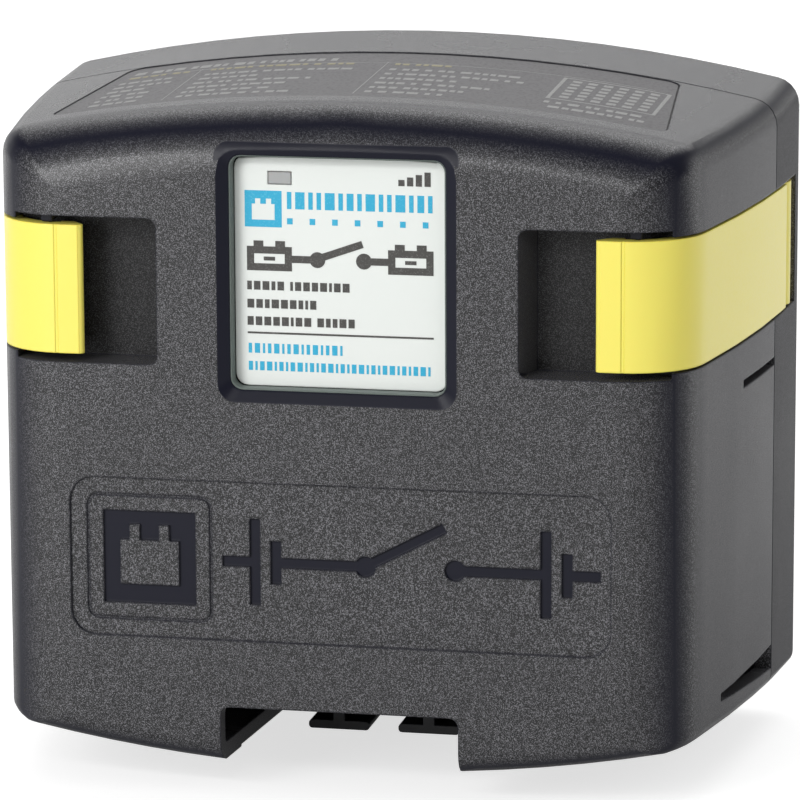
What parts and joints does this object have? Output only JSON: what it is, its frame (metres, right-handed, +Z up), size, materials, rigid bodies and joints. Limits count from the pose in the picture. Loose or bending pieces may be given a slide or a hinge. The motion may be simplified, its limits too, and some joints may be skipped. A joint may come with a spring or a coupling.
{
  "type": "battery isolator relay",
  "caption": "Wall-mounted battery isolator relay with a crowned pull-off terminal cover, wrap-around yellow latches, a face plate and power studs.",
  "frame": {"origin": "middle of the lowest edge of the housing's bounding box", "axes": "+X to the right seen from the front, -Y out of the front face, +Z up; the mounting face looks along +Y"},
  "size_m": [0.1044, 0.06, 0.0951],
  "materials": {
    "rear_base": "grained charcoal",
    "front_cover": "grained charcoal with satin edges",
    "top_label": "printed film",
    "face_plate": "printed satin white",
    "status_window": "diffusing",
    "latch_left": "satin yellow",
    "latch_right": "satin yellow",
    "hinge_pins": "ground",
    "relay_case": "moulded",
    "case_screws": "zinc plated",
    "stud_left": "tin plated thread",
    "stud_right": "tin plated thread",
    "stud_nuts": "stainless",
    "lock_washers": "stainless",
    "flat_washers": "stainless",
    "bus_bar_left": "copper",
    "bus_bar_right": "copper",
    "fixed_contacts": "silver",
    "contact_bridge": "copper",
    "moving_contacts": "silver",
    "contact_spring": "spring steel",
    "push_rod": "ground",
    "rod_clip": "spring steel",
    "plunger": "soft iron",
    "return_spring": "spring steel",
    "fixed_core": "soft iron",
    "yoke_frame": "zinc plated iron",
    "yoke_plate": "zinc plated iron",
    "coil_bobbin": "moulded",
    "coil_winding": "enamelled copper wire",
    "coil_leads": "enamelled copper wire",
    "circuit_board": "solder resist",
    "status_light": "clear amber",
    "capacitors": "sleeved",
    "control_chip": "moulded",
    "driver_transistor": "moulded",
    "resistors": "lacquered",
    "blade_terminals": "tin plated"
  },
  "bodies": {
    "base": {"rear_base": "rear_base", "face_plate": "face_plate", "status_window": "status_window", "hinge_pins": "hinge_pins", "relay_case": "relay_case", "case_screws": "case_screws", "stud_left": "stud_left", "stud_right": "stud_right", "stud_nuts": "stud_nuts", "lock_washers": "lock_washers", "flat_washers": "flat_washers", "bus_bar_left": "bus_bar_left", "bus_bar_right": "bus_bar_right", "fixed_contacts": "fixed_contacts", "return_spring": "return_spring", "fixed_core": "fixed_core", "yoke_frame": "yoke_frame", "yoke_plate": "yoke_plate", "coil_bobbin": "coil_bobbin", "coil_winding": "coil_winding", "coil_leads": "coil_leads", "circuit_board": "circuit_board", "status_light": "status_light", "capacitors": "capacitors", "control_chip": "control_chip", "driver_transistor": "driver_transistor", "resistors": "resistors", "blade_terminals": "blade_terminals"},
    "cover": {"front_cover": "front_cover", "top_label": "top_label"},
    "latch_l": {"latch_left": "latch_left"},
    "latch_r": {"latch_right": "latch_right"},
    "armature": {"contact_bridge": "contact_bridge", "moving_contacts": "moving_contacts", "contact_spring": "contact_spring", "push_rod": "push_rod", "rod_clip": "rod_clip", "plunger": "plunger"}
  },
  "joints": [
    {"name": "cover_slide", "type": "slide", "parent": "base", "child": "cover", "axis": [0, -1, 0], "range_m": [0, 0.044]},
    {"name": "latch_left_swing", "type": "hinge", "parent": "base", "child": "latch_l", "pos_m": [-0.04896, 0.024, 0.06775], "axis": [0, 0, -1], "range_deg": [0, 96]},
    {"name": "latch_right_swing", "type": "hinge", "parent": "base", "child": "latch_r", "pos_m": [0.04896, 0.024, 0.06775], "axis": [0, 0, 1], "range_deg": [0, 96]},
    {"name": "contact_travel", "type": "slide", "parent": "base", "child": "armature", "axis": [0, 1, 0], "range_m": [0, 0.0018], "stiffness_N_per_m": 800, "springref_m": -0.002, "deforming": ["return_spring"]}
  ],
  "couplings": [
    {"joint": "latch_left_swing", "follows": "cover_slide", "rad_per_m": 38},
    {"joint": "latch_right_swing", "follows": "cover_slide", "rad_per_m": 38}
  ]
}
